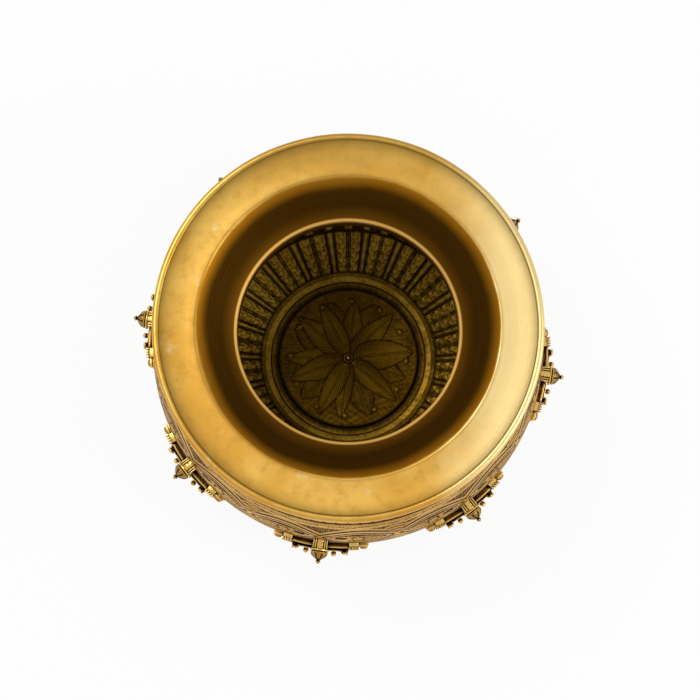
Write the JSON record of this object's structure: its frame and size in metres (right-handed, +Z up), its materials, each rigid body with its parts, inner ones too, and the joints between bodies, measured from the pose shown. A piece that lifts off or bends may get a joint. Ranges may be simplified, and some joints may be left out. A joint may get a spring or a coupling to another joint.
{
  "type": "lota",
  "caption": "Squat brass ritual water pot with a wide everted brim, pinched neck, repousse body, ring foot and cast shrine ornaments round the belly.",
  "frame": {"origin": "on the pot's axis, in the plane of the foot ring's standing face", "axes": "+Z up along the pot's axis out of the mouth; the pictured side faces -Y"},
  "size_m": [0.238, 0.238, 0.1499],
  "materials": {
    "burnished_brass": "burnished, fine turning lines, small pale stains, darker patina in the grooves",
    "patinated_brass": "chased and repousse brass, bright highs and dark purple-brown patina in the recesses",
    "cast_brass": "cast brass with worn bright edges and near-black patina between the ribs",
    "rivet_brass": "peened brass, softly polished"
  },
  "bodies": {
    "root": {"rim_edge_ring": "burnished_brass", "neck_funnel": "burnished_brass", "neck_ring": "burnished_brass", "shoulder_shell": "patinated_brass", "bowl_shell": "patinated_brass", "foot_ring": "patinated_brass", "floor_medallion": "patinated_brass", "centre_rivet": "rivet_brass", "shrine_frame_1": "cast_brass", "lotus_boss_1": "cast_brass", "frame_rivet_1_right": "rivet_brass", "frame_rivet_1_left": "rivet_brass", "shrine_frame_2": "cast_brass", "lotus_boss_2": "cast_brass", "frame_rivet_2_right": "rivet_brass", "frame_rivet_2_left": "rivet_brass", "shrine_frame_3": "cast_brass", "lotus_boss_3": "cast_brass", "frame_rivet_3_right": "rivet_brass", "frame_rivet_3_left": "rivet_brass", "shrine_frame_4": "cast_brass", "lotus_boss_4": "cast_brass", "frame_rivet_4_right": "rivet_brass", "frame_rivet_4_left": "rivet_brass", "shrine_frame_5": "cast_brass", "lotus_boss_5": "cast_brass", "frame_rivet_5_right": "rivet_brass", "frame_rivet_5_left": "rivet_brass", "shrine_frame_6": "cast_brass", "lotus_boss_6": "cast_brass", "frame_rivet_6_right": "rivet_brass", "frame_rivet_6_left": "rivet_brass", "shrine_frame_7": "cast_brass", "lotus_boss_7": "cast_brass", "frame_rivet_7_right": "rivet_brass", "frame_rivet_7_left": "rivet_brass", "shrine_frame_8": "cast_brass", "lotus_boss_8": "cast_brass", "frame_rivet_8_right": "rivet_brass", "frame_rivet_8_left": "rivet_brass"}
  },
  "joints": []
}
